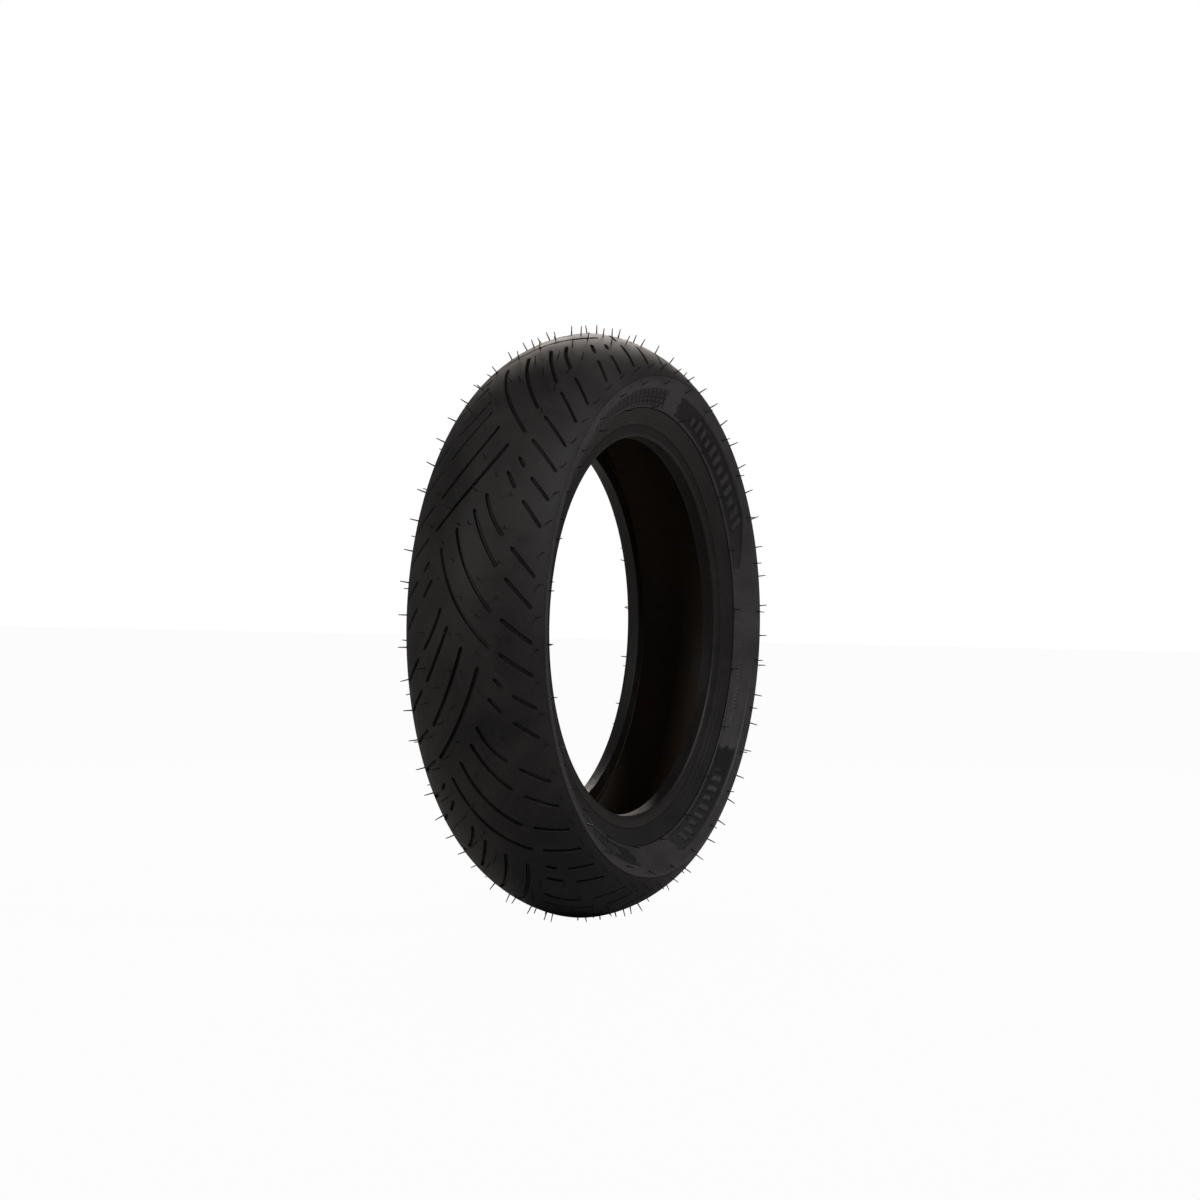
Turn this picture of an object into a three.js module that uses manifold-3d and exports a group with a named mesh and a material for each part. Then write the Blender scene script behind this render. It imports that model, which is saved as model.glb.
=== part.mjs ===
// A tubeless motorcycle tyre of the 140/70-14 size, off its rim. Millimetres, +Z up.
// The wheel axis is +Y and the origin is the middle of the wheel.
// It is built up the way a tyre is: two bead cores wrapped and topped with fillers, two
// carcass plies, the inner one turned up round the beads, a liner inside, two belts under
// the tread, and the outer rubber in bands: tread, sidewalls, rim cushions and chafers.
import * as THREE from 'three';
import { mergeVertices } from 'three/addons/utils/BufferGeometryUtils.js';
import Module from 'manifold-3d';

const wasm = await Module();
wasm.setup();

// Overall sizes
const RIM_DIAMETER = 355.6;        // bead seat of a 14 inch rim
const SECTION_HEIGHT = 98.2;       // bead seat to the middle of the tread
const SECTION_WIDTH = 142;         // across the widest points of the sidewalls
const BEAD_SPACING = 96;           // across the two faces that bear on the rim flanges
const ROUND_STEPS = 32;            // flats round the tyre

// Outer shape, as heights above the bead seat and handles of the crown curve
const WIDEST_HEIGHT = 54;
const TREAD_EDGE_HEIGHT = 58;
const TREAD_EDGE_INSET = 0.5;      // tread edge, in from the widest point
const CROWN_HANDLE = 24;
const SHOULDER_HANDLE = 24.5;
const SHOULDER_LEAN = 26;          // degrees between the tread edge and the wheel plane
const PANEL_HEIGHT = 47.8;         // top of the marked panel
const PANEL_INSET = 3;
const RIM_LINE_HEIGHT = 28.2;      // moulded line that shows above the rim flange
const RIM_LINE_STANDOUT = 6.7;     // rim line, out from the flange face
const FLANGE_TOP_HEIGHT = 12;      // flat flange face, from here down to the heel
const HEEL_HEIGHT = 3.4;
const HEEL_ROUND = 1.9;
const SEAT_TAPER = 5;              // degrees, heel to toe

// Layers
const BOND_GAP = 0.3;
const TREAD_THICKNESS = 6;
const UNDERTREAD_THICKNESS = 1.2;
const BELT_THICKNESS = 0.9;
const PLY_THICKNESS = 0.9;
const LINER_THICKNESS = 0.8;
const SIDEWALL_THICKNESS = 2.6;
const CHAFER_THICKNESS = 1.1;
const WRAP_THICKNESS = 0.7;
const FEATHER_THICKNESS = 0.5;     // thin edge of the undertread and of the edge cushions

// Beads
const CORE_WIDTH = 6.4;
const CORE_HEIGHT = 6.2;
const CORE_TOP_CLEAR = 2.5;        // straight stretch of the carcass above the core
const WRAP_RISE = 1.5;             // bead wrap legs, above the core
const WRAP_CLEAR = 0.7;            // from the wrap's legs up to where the turned-up ply leans out
const FILLER_TIP = 1;              // thickness of the bead filler at its tip
const FILLER_REACH = 0.12;         // filler tip, as a share of the way down from the rim line
const CUSHION_REACH = 0.04;        // rim cushion tip, likewise
const PLY_TURN_UP_HEIGHT = 21.5;   // end of the turned-up ply, above the bead seat

// The carcass line, from the crown to the widest point and on down to the bead: handles of
// its two curves, and the stations on them where the layers have their corners
const CARCASS_CROWN_HANDLE = 14;
const CARCASS_SHOULDER_HANDLE = 8;
const CARCASS_FLANK_HANDLE = 8;
const CARCASS_BEAD_HANDLE = 14;
const CROWN_STATIONS = [0, 0.4, 0.65, 0.85, 1];
const BELT_STATIONS = 3;           // belts reach over this many of the crown stations
const UNDERTREAD_STATIONS = 4;
const TREAD_END = 0.9;             // tread and sidewall meet the ply at these two stations
const SIDEWALL_START = 0.91;
const FLANK_STATIONS = [0.28, 0.55];

// Tread grooves: each runs from the shoulder to the middle through points given as
// [degrees round the tyre, mm along the tread from its middle line].
const PITCHES = 8;
const HALF_PITCH = 0.5;            // the left side of the pattern is this far round from the right
const GROOVE_WIDTH = 3;
const GROOVE_DEPTH = 3.4;          // on the middle line
const SHOULDER_GROOVE_DEPTH = 1.6; // at the tread edge
const GROOVE_CLEAR = 4;            // how far a cutter stands above the tread
const TREAD_STEPS = 4;             // flats across each half of the tread
const GROOVES = [
  [[13.5, 71.8], [18.7, 40.5]],
  [[19.7, 32.8], [25.5, 9.5], [32, -9], [38.8, -21.5]],
  [[26.5, 33.8], [33.5, 11.5], [42.6, -6.7]],
  [[27.7, 71], [33.5, 43.8]],
  [[35.3, 36.1], [40.6, 20], [46.4, 7.1]],
  [[41.6, 37.8], [49.8, 15.8]],
];

// Materials
const rubber = (color, roughness) => new THREE.MeshStandardMaterial({ color, roughness, metalness: 0 });
const treadRubber = () => rubber(0x3a3736, 0.62);
const sidewallRubber = () => rubber(0x37373a, 0.5);
const beadRubber = () => rubber(0x2d2c2c, 0.55);
const linerRubber = () => rubber(0x1b1817, 0.4);
const cordFabric = () => rubber(0x6b5a41, 0.8);
const beadSteel = () => new THREE.MeshStandardMaterial({ color: 0x9a8460, roughness: 0.4, metalness: 0.9 });

// A point of the half section: distance from the middle plane, distance from the wheel axis
const at = (lateral, radius) => new THREE.Vector2(radius, lateral);
const alongLine = (start, direction, distance) => start.clone().addScaledVector(direction, distance);
const outwardOf = (travel) => new THREE.Vector2(travel.y, -travel.x).normalize();

// The point at a signed distance beside each point of a line, with mitred corners.
// One distance holds for the whole line, or a list gives one for each point.
function beside(line, distances) {
  return line.map((here, i) => {
    const arriving = line[i].clone().sub(line[Math.max(i - 1, 0)]);
    const leaving = line[Math.min(i + 1, line.length - 1)].clone().sub(line[i]);
    const first = outwardOf(i > 0 ? arriving : leaving);
    const second = outwardOf(i < line.length - 1 ? leaving : arriving);
    const mitre = first.clone().add(second).normalize();
    const distance = Array.isArray(distances) ? distances[i] : distances;
    return alongLine(here, mitre, distance / mitre.dot(first));
  });
}

const mirrored = (line) => line.map((point) => new THREE.Vector2(point.x, -point.y));
const bothHalves = (half) => [...mirrored(half).reverse(), ...half.slice(1)];
const band = (line, inner, outer) => [...beside(line, outer), ...beside(line, inner).reverse()];

// A half section's line or layer, with the other half added across the middle plane
const spread = (value) => (Array.isArray(value) ? [...value.slice(1).reverse(), ...value] : value);
const besideAcross = (half, distances) => beside(bothHalves(half), spread(distances));
const bandAcross = (half, inner, outer) => band(bothHalves(half), spread(inner), spread(outer));

// Closed ring round the wheel axis from the outline of its section
function ring(outline) {
  const points = THREE.ShapeUtils.area(outline) > 0 ? outline : [...outline].reverse();
  const geometry = new THREE.LatheGeometry([...points, points[0]], ROUND_STEPS);
  geometry.deleteAttribute('normal');
  geometry.deleteAttribute('uv');
  return mergeVertices(geometry);
}

// Outer surface of the half section
const seatRadius = RIM_DIAMETER / 2;
const crownRadius = seatRadius + SECTION_HEIGHT;
const sectionHalf = SECTION_WIDTH / 2;
const flangeHalf = BEAD_SPACING / 2;
const lean = THREE.MathUtils.degToRad(SHOULDER_LEAN);
const crown = at(0, crownRadius);
const treadEdge = at(sectionHalf - TREAD_EDGE_INSET, seatRadius + TREAD_EDGE_HEIGHT);
const widest = at(sectionHalf, seatRadius + WIDEST_HEIGHT);
const panelTop = at(sectionHalf - PANEL_INSET, seatRadius + PANEL_HEIGHT);
const rimLine = at(flangeHalf + RIM_LINE_STANDOUT, seatRadius + RIM_LINE_HEIGHT);
const flangeTop = at(flangeHalf, seatRadius + FLANGE_TOP_HEIGHT);
const flangeFoot = at(flangeHalf, seatRadius + HEEL_HEIGHT);
const shoulderHandle = at(
  treadEdge.y - SHOULDER_HANDLE * Math.sin(lean),
  treadEdge.x + SHOULDER_HANDLE * Math.cos(lean),
);
const crownHandle = at(CROWN_HANDLE, crownRadius);
const treadCurve = new THREE.CubicBezierCurve(crown, crownHandle, shoulderHandle, treadEdge);

// Distances from the carcass line, which runs in the bond between the two plies
const bond = BOND_GAP / 2;
const plyFace = bond + PLY_THICKNESS;
const onPly = plyFace + BOND_GAP;
const onInnerBelt = onPly + BELT_THICKNESS + BOND_GAP;
const onOuterBelt = onInnerBelt + BELT_THICKNESS + BOND_GAP;
const onUndertread = onOuterBelt + UNDERTREAD_THICKNESS + BOND_GAP;
const onCushionEdge = onPly + FEATHER_THICKNESS + BOND_GAP;
const onUndertreadEdge = onCushionEdge + FEATHER_THICKNESS + BOND_GAP;
const linerFace = onPly + LINER_THICKNESS;
const coreFace = bond + WRAP_THICKNESS + BOND_GAP;
const seatCover = onPly + CHAFER_THICKNESS;

// Bead core, and the carcass line that passes round it
const coreOuter = flangeHalf - seatCover - coreFace;
const coreInner = coreOuter - CORE_WIDTH;
const coreBottom = seatRadius + seatCover + coreFace;
const coreTop = coreBottom + CORE_HEIGHT;
const wrapTop = coreTop + WRAP_RISE;
const lineInner = coreInner - coreFace;
const lineOuter = coreOuter + coreFace;
const lineBottom = coreBottom - coreFace;
const turn = coreFace;
const beadTop = at(lineInner, coreTop + CORE_TOP_CLEAR);
const carcassCrown = at(0, crownRadius - TREAD_THICKNESS - onUndertread);
const carcassWidest = at(sectionHalf - SIDEWALL_THICKNESS - onPly, widest.x);
const crownLine = new THREE.CubicBezierCurve(
  carcassCrown,
  at(CARCASS_CROWN_HANDLE, carcassCrown.x),
  at(carcassWidest.y, carcassWidest.x + CARCASS_SHOULDER_HANDLE),
  carcassWidest,
);
const flankLine = new THREE.CubicBezierCurve(
  carcassWidest,
  at(carcassWidest.y, carcassWidest.x - CARCASS_FLANK_HANDLE),
  at(beadTop.y, beadTop.x + CARCASS_BEAD_HANDLE),
  beadTop,
);
const crownPoints = CROWN_STATIONS.map((station) => crownLine.getPoint(station));
const flankPoints = [...FLANK_STATIONS.map((station) => flankLine.getPoint(station)), beadTop];
const rimLineFoot = flankPoints[FLANK_STATIONS.length - 1];
const carcassHalf = [...crownPoints, ...flankPoints];
const underCore = [
  at(lineInner, lineBottom + turn),
  at(lineInner + turn, lineBottom),
  at(lineOuter - turn, lineBottom),
  at(lineOuter, lineBottom + turn),
];
const turnUpFoot = at(lineOuter, wrapTop + WRAP_CLEAR);
const flankRise = rimLine.clone().sub(flangeTop);
const turnUpShare = (seatRadius + PLY_TURN_UP_HEIGHT - turnUpFoot.x) / flankRise.x;
const turnUpEnd = alongLine(turnUpFoot, flankRise, turnUpShare);

// Full-width layers
const parts = new Map();
parts.set('carcass_ply_outer', [bandAcross(carcassHalf, bond, plyFace), cordFabric]);
parts.set('carcass_ply_inner', [
  bandAcross([...carcassHalf, ...underCore, turnUpFoot, turnUpEnd], -plyFace, -bond),
  cordFabric,
]);
parts.set('inner_liner', [bandAcross(carcassHalf, -linerFace, -onPly), linerRubber]);
const beltLine = crownPoints.slice(0, BELT_STATIONS);
parts.set('belt_inner', [bandAcross(beltLine, onPly, onPly + BELT_THICKNESS), cordFabric]);
parts.set('belt_outer', [bandAcross(beltLine, onInnerBelt, onInnerBelt + BELT_THICKNESS), cordFabric]);

// One value over the belts, another at the thin edge beyond them
const overBelts = (value, edgeValue) => crownPoints
  .slice(0, UNDERTREAD_STATIONS)
  .map((_, i) => (i < BELT_STATIONS ? value : edgeValue));
parts.set('undertread', [
  bandAcross(
    crownPoints.slice(0, UNDERTREAD_STATIONS),
    overBelts(onOuterBelt, onCushionEdge),
    overBelts(onOuterBelt + UNDERTREAD_THICKNESS, onCushionEdge + FEATHER_THICKNESS),
  ),
  sidewallRubber,
]);

// Tread cap, with its grooves cut into it
const treadFloor = besideAcross(
  [...crownPoints.slice(0, UNDERTREAD_STATIONS), crownLine.getPoint(TREAD_END)],
  [...overBelts(onUndertread, onUndertreadEdge), onPly],
);
const treadOutline = [...bothHalves(treadCurve.getPoints(TREAD_STEPS)), ...treadFloor.reverse()];
const treadLength = treadCurve.getLength();

function treadSpot([degrees, across], side, pitch) {
  const angle = THREE.MathUtils.degToRad(degrees + pitch * (360 / PITCHES));
  const reach = Math.abs(across) / treadLength;
  const half = side * Math.sign(across || 1);
  const point = treadCurve.getPointAt(reach);
  const normal = outwardOf(treadCurve.getTangentAt(reach));
  const round = ({ x, y }) => new THREE.Vector3(x * Math.sin(angle), half * y, x * Math.cos(angle));
  const depth = THREE.MathUtils.lerp(GROOVE_DEPTH, SHOULDER_GROOVE_DEPTH, reach);
  return { place: round(point), normal: round(normal), depth };
}

// A bent bar with one four-cornered section at each point of the groove
function grooveCutter(groove, side, pitch) {
  const spots = groove.map((point) => treadSpot(point, side, pitch));
  const corners = spots.flatMap(({ place, normal, depth }, i) => {
    const before = spots[Math.max(i - 1, 0)].place;
    const after = spots[Math.min(i + 1, spots.length - 1)].place;
    const across = after.clone().sub(before).cross(normal).setLength(GROOVE_WIDTH / 2);
    const top = place.clone().addScaledVector(normal, GROOVE_CLEAR);
    const bottom = place.clone().addScaledVector(normal, -depth);
    return [
      top.clone().add(across),
      bottom.clone().add(across),
      bottom.clone().sub(across),
      top.clone().sub(across),
    ];
  });
  const last = corners.length - 4;
  const faces = [0, 2, 1, 0, 3, 2, last, last + 1, last + 2, last, last + 2, last + 3];
  for (let section = 0; section < last; section += 4) {
    for (let corner = 0; corner < 4; corner += 1) {
      const here = section + corner;
      const next = section + ((corner + 1) % 4);
      faces.push(here, next, here + 4, next, next + 4, here + 4);
    }
  }
  const geometry = new THREE.BufferGeometry().setFromPoints(corners);
  geometry.setIndex(faces);
  return solidOf(geometry);
}

function solidOf(geometry) {
  const vertProperties = new Float32Array(geometry.getAttribute('position').array);
  const triVerts = new Uint32Array(geometry.getIndex().array);
  return new wasm.Manifold(new wasm.Mesh({ numProp: 3, vertProperties, triVerts }));
}

function geometryOf(solid) {
  const mesh = solid.getMesh();
  const geometry = new THREE.BufferGeometry();
  geometry.setAttribute('position', new THREE.BufferAttribute(mesh.vertProperties, 3));
  geometry.setIndex(new THREE.BufferAttribute(mesh.triVerts, 1));
  return geometry;
}

let tread = solidOf(ring(treadOutline));
for (const [side, phase] of [[-1, HALF_PITCH], [1, 0]]) {
  for (let pitch = phase; pitch < PITCHES; pitch += 1) {
    for (const groove of GROOVES) {
      tread = tread.subtract(grooveCutter(groove, side, pitch));
    }
  }
}

// Pieces that come in a left and a right, as half sections on the right
const pairs = new Map();
const gapAlong = (start, end, gap) => alongLine(start, end.clone().sub(start).normalize(), gap);
const wayDown = (share) => rimLineFoot.clone().lerp(beadTop, share);

const cushionStart = gapAlong(crownPoints[BELT_STATIONS - 1], crownPoints[BELT_STATIONS], BOND_GAP);
pairs.set('belt_edge_cushion', [
  band(
    [cushionStart, crownPoints[BELT_STATIONS]],
    onPly,
    [onOuterBelt - BOND_GAP, onPly + FEATHER_THICKNESS],
  ),
  sidewallRubber,
]);
const sidewallBack = [crownLine.getPoint(SIDEWALL_START), carcassWidest, ...flankPoints.slice(0, -1)];
pairs.set('sidewall', [
  [
    ...beside(sidewallBack, onPly).reverse(),
    treadEdge.clone().sub(new THREE.Vector2(BOND_GAP, 0)),
    widest,
    panelTop,
    gapAlong(rimLine, panelTop, BOND_GAP),
  ],
  sidewallRubber,
]);

const fillerTip = beside([wayDown(FILLER_REACH), beadTop], onPly)[0];
const fillerTipOuter = beside([wayDown(FILLER_REACH), beadTop], onPly + FILLER_TIP)[0];
const turnUpInside = beside([turnUpFoot, turnUpEnd], bond);
pairs.set('bead_filler', [
  [
    at(coreInner, coreTop + BOND_GAP),
    at(coreOuter, coreTop + BOND_GAP),
    at(coreOuter, wrapTop + BOND_GAP),
    ...turnUpInside,
    fillerTipOuter,
    fillerTip,
    beside([rimLineFoot, beadTop], onPly)[1],
  ],
  beadRubber,
]);
pairs.set('bead_core', [
  [
    ...beside([beadTop, ...underCore, turnUpFoot], coreFace).slice(1, -1),
    at(coreOuter, coreTop),
    at(coreInner, coreTop),
  ],
  beadSteel,
]);
pairs.set('bead_wrap', [
  band([at(lineInner, wrapTop), ...underCore, at(lineOuter, wrapTop)], bond, bond + WRAP_THICKNESS),
  cordFabric,
]);

const turnUpTop = gapAlong(turnUpEnd, alongLine(turnUpEnd, flankRise, 1), BOND_GAP);
const [besideFoot, cushionTurn] = beside([turnUpFoot, turnUpTop], -onPly);
const cushionFootShare = (turnUpFoot.x + BOND_GAP - besideFoot.x) / (cushionTurn.x - besideFoot.x);
const cushionFoot = besideFoot.clone().lerp(cushionTurn, cushionFootShare);
pairs.set('rim_cushion', [
  [
    at(flangeHalf, flangeTop.x + BOND_GAP),
    rimLine,
    beside([wayDown(CUSHION_REACH), beadTop], onPly)[0],
    gapAlong(fillerTip, rimLineFoot, BOND_GAP),
    gapAlong(fillerTipOuter, rimLine, BOND_GAP),
    beside([turnUpFoot, turnUpTop], -bond)[1],
    cushionTurn,
    cushionFoot,
  ],
  beadRubber,
]);

const toeLateral = lineInner - linerFace;
const heelLateral = flangeHalf - HEEL_ROUND;
const seatMiddle = (toeLateral + heelLateral) / 2;
const seatAt = (lateral) => at(
  lateral,
  seatRadius + (lateral - seatMiddle) * Math.tan(THREE.MathUtils.degToRad(SEAT_TAPER)),
);
const chaferTop = beadTop.x - BOND_GAP;
pairs.set('chafer', [
  [
    ...beside([at(lineInner, chaferTop), ...underCore, turnUpFoot], -onPly),
    flangeTop,
    flangeFoot,
    seatAt(heelLateral),
    seatAt(toeLateral),
    at(toeLateral, chaferTop),
  ],
  beadRubber,
]);

// Assembly
const tyre = new THREE.Group();

function fit(name, geometry, material) {
  const mesh = new THREE.Mesh(geometry, material());
  mesh.name = name;
  tyre.add(mesh);
}

fit('tread_cap', geometryOf(tread), treadRubber);
for (const [name, [outline, material]] of parts) fit(name, ring(outline), material);
for (const [name, [outline, material]] of pairs) {
  fit(`${name}_right`, ring(outline), material);
  fit(`${name}_left`, ring(mirrored(outline)), material);
}

export default tyre;
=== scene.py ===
import math
import bmesh
import bpy
import numpy as np
from mathutils import Matrix, Vector


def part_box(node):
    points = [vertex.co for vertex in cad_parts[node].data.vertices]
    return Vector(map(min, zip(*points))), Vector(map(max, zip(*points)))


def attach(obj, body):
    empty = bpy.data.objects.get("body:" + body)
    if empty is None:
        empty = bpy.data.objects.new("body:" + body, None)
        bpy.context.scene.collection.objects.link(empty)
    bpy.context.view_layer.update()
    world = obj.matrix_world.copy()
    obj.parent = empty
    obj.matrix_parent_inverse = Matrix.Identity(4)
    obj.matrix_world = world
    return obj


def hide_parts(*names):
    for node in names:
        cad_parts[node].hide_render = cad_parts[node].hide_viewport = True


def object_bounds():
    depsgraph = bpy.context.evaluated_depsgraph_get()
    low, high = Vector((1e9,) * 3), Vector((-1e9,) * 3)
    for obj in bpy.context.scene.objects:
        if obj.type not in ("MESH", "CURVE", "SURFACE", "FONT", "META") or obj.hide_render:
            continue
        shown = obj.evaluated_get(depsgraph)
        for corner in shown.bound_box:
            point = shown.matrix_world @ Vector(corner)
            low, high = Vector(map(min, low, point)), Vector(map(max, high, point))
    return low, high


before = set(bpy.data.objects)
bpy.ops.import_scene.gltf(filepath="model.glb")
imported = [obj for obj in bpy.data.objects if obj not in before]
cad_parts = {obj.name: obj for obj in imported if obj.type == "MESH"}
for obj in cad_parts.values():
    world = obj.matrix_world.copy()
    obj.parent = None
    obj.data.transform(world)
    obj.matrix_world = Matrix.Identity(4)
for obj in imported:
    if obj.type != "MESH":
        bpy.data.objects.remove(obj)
cad_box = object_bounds()
scene = bpy.context.scene

# --- The setting ------------------------------------------------------------------------
# The tyre stands on its tread on a white studio floor, seen mostly from its tread side, with
# one sidewall turned to the viewer. Soft lights stand behind it, to its right and to its left.

CAMERA_AZIMUTH = math.radians(-63.82)
CAMERA_ELEVATION = math.radians(1.78)
CAMERA_ROLL = math.radians(0.31)
CAMERA_DISTANCE = 4.476
CAMERA_LENS = 142.0
CAMERA_SHIFT = (0.0081, 0.0214)

camera_data = bpy.data.cameras.new("studio_camera")
camera_data.sensor_width = 36.0
camera_data.lens = CAMERA_LENS
camera_data.shift_x, camera_data.shift_y = CAMERA_SHIFT
camera_data.clip_end = 50.0
camera = bpy.data.objects.new("studio_camera", camera_data)
scene.collection.objects.link(camera)
camera_turn = (
    Matrix.Rotation(CAMERA_AZIMUTH, 4, "Z")
    @ Matrix.Rotation(math.pi / 2 - CAMERA_ELEVATION, 4, "X")
    @ Matrix.Rotation(CAMERA_ROLL, 4, "Z")
)
camera.matrix_world = camera_turn @ Matrix.Translation((0, 0, CAMERA_DISTANCE))
scene.camera = camera

FLOOR_SIZE = 14.0
FLOOR_DROP = 0.0005      # keeps the floor just clear of the tread
FLOOR_BACKLIGHT = 0.97   # share of the floor's white that comes from light under it
ROOM_LIGHT = 0.13        # the white room, as the tyre is lit by it
floor_mesh = bpy.data.meshes.new("studio_floor")
reach = FLOOR_SIZE / 2
floor_level = cad_box[0][2] - FLOOR_DROP
floor_ways = ((-1, -1), (1, -1), (1, 1), (-1, 1))
floor_corners = [(x * reach, y * reach, floor_level) for x, y in floor_ways]
floor_mesh.from_pydata(floor_corners, [], [(0, 1, 2, 3)])
floor = bpy.data.objects.new("studio_floor", floor_mesh)
scene.collection.objects.link(floor)
floor_paint = bpy.data.materials.new("studio_floor_white")
floor_paint.use_nodes = True
floor_shader = floor_paint.node_tree.nodes["Principled BSDF"]
floor_shader.inputs["Base Color"].default_value = (0.5, 0.5, 0.5, 1)
floor_shader.inputs["Roughness"].default_value = 0.9
floor_shader.inputs["Specular IOR Level"].default_value = 0.0
floor_nodes = floor_paint.node_tree
backlit = floor_nodes.nodes.new("ShaderNodeEmission")
floor_share = floor_nodes.nodes.new("ShaderNodeMath")
floor_share.operation = "MULTIPLY"
floor_share.inputs[1].default_value = FLOOR_BACKLIGHT
floor_mix = floor_nodes.nodes.new("ShaderNodeMixShader")
floor_ray = floor_nodes.nodes.new("ShaderNodeLightPath")
floor_nodes.links.new(floor_ray.outputs["Is Camera Ray"], floor_share.inputs[0])
floor_nodes.links.new(floor_share.outputs[0], floor_mix.inputs["Fac"])
floor_nodes.links.new(floor_shader.outputs[0], floor_mix.inputs[1])
floor_nodes.links.new(backlit.outputs[0], floor_mix.inputs[2])
floor_nodes.links.new(floor_mix.outputs[0], floor_nodes.nodes["Material Output"].inputs["Surface"])
floor_mesh.materials.append(floor_paint)

world = bpy.data.worlds.new("studio_white")
scene.world = world
world.use_nodes = True
room = world.node_tree
room.nodes["Background"].inputs["Color"].default_value = (1.0, 1.0, 1.0, 1)
room_ray = room.nodes.new("ShaderNodeLightPath")
room_level = room.nodes.new("ShaderNodeMapRange")
room_level.inputs["To Min"].default_value = ROOM_LIGHT
room.links.new(room_ray.outputs["Is Camera Ray"], room_level.inputs["Value"])
room.links.new(room_level.outputs["Result"], room.nodes["Background"].inputs["Strength"])
scene.view_settings.view_transform = "Standard"


def soft_light(name, place, size, power, tint):
    """A large area light aimed at the middle of the wheel."""
    data = bpy.data.lights.new(name, "AREA")
    data.shape = "SQUARE"
    data.size = size
    data.energy = power
    data.color = tint
    light = bpy.data.objects.new(name, data)
    light.location = place
    light.rotation_euler = (-Vector(place)).to_track_quat("-Z", "Y").to_euler()
    scene.collection.objects.link(light)


soft_light("back_softbox", (1.9, 0.9, 1.2), 0.9, 30, (1.0, 0.9, 0.83))
soft_light("right_fill", (-0.1, -2.3, 1.6), 0.9, 22, (1.0, 0.98, 0.99))
soft_light("left_fill", (-2.4, 0.5, 1.3), 1.0, 15, (1.0, 0.98, 0.96))

# --- Carcass and belts --------------------------------------------------------------------
# Bands of cord fabric skimmed with rubber: two plies over the whole section, the inner one
# turned up round the bead cores, and two belts under the tread. None shows on a whole tyre.

AROUND = 180              # steps round the wheel
ON_PLANE = 1e-6           # a vertex this close to a plane lies on it
CORNER_STEPS = 3          # points on the curve of an eased corner
SHARP_COSINE = -0.6       # cosine of the widest angle that counts as a sharp corner
SHARP_REACH = 0.0006      # how far the curve of a sharp corner reaches at most
EDGE_SHARE = 0.48         # how much of an edge the curve of one corner takes at most
WHOLE_EDGE = 1.0          # longer than any edge, so that a thin band's corners ease fully
MEAN_RADIUS = 0.26        # turns an angle round the wheel into a length
CORD_PITCH = 0.0014
COLOUR_A, COLOUR_B, COLOUR_OUT = 6, 7, 2     # sockets of a Mix node that mixes colours


def section_of(node):
    """The outline of a ring where it crosses the upright half plane: (lateral, radius) points."""
    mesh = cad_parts[node].data
    on_plane = {}
    for vertex in mesh.vertices:
        x, y, z = vertex.co
        if abs(x) < ON_PLANE and z > 0:
            on_plane[vertex.index] = (round(y, 6), round(z, 6))
    neighbours = {}
    for edge in mesh.edges:
        start, end = (on_plane.get(i) for i in edge.vertices)
        if start and end and start != end:
            neighbours.setdefault(start, set()).add(end)
            neighbours.setdefault(end, set()).add(start)
    first = min(neighbours)
    outline = [first]
    step = min(neighbours[first])
    while step != first:
        onward = [point for point in neighbours[step] if point != outline[-1]]
        outline.append(step)
        step = onward[0]
    return np.array(outline)


def eased(outline, reach):
    """The closed outline with each corner turned into a short curve, smaller on a sharp corner."""
    points = []
    count = len(outline)
    for i, corner in enumerate(outline):
        ways = [outline[i - 1] - corner, outline[(i + 1) % count] - corner]
        lengths = [np.hypot(*way) for way in ways]
        sharp = np.dot(*ways) > SHARP_COSINE * lengths[0] * lengths[1]
        own_reach = min(reach, SHARP_REACH) if sharp else reach
        shares = [min(own_reach / length, EDGE_SHARE) for length in lengths]
        ends = [corner + way * share for way, share in zip(ways, shares)]
        for t in np.linspace(0, 1, CORNER_STEPS):
            points.append((1 - t) ** 2 * ends[0] + 2 * t * (1 - t) * corner + t ** 2 * ends[1])
    return np.array(points)


def turn_of(outline):
    """Positive if a closed outline runs from the lateral way to the radial way, else negative."""
    lateral, radius = outline.T
    return np.sum(lateral * np.roll(radius, -1) - np.roll(lateral, -1) * radius)


def spin(name, outlines, material, around=AROUND, crease=35):
    """A closed ring from one outline, or from one outline for each step round the wheel."""
    outlines = np.broadcast_to(outlines, (around,) + outlines.shape[-2:])
    if turn_of(outlines[0]) > 0:
        outlines = outlines[:, ::-1]
    angle = (np.arange(around) * 2 * np.pi / around)[:, None]
    lateral, radius = outlines[..., 0], outlines[..., 1]
    spots = np.stack([radius * np.sin(angle), lateral, radius * np.cos(angle)], -1).reshape(-1, 3)
    count = outlines.shape[1]
    ring, spot = np.meshgrid(np.arange(around), np.arange(count), indexing="ij")
    next_ring, next_spot = (ring + 1) % around, (spot + 1) % count
    here, there = ring * count, next_ring * count
    corners = [here + spot, there + spot, there + next_spot, here + next_spot]
    faces = np.stack(corners, -1).reshape(-1, 4)
    mesh = bpy.data.meshes.new(name)
    mesh.from_pydata(spots.tolist(), [], faces.tolist())
    mesh.polygons.foreach_set("use_smooth", [True] * len(faces))
    mesh.set_sharp_from_angle(angle=math.radians(crease))
    mesh.materials.append(material)
    piece = bpy.data.objects.new(name, mesh)
    scene.collection.objects.link(piece)
    return piece


def stands_for(piece, slot, *nodes):
    """Attaches a finished piece to the root body and hides the pieces it takes the place of. The slot is not
    used.
    """
    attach(piece, "root")
    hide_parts(*nodes)


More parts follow.
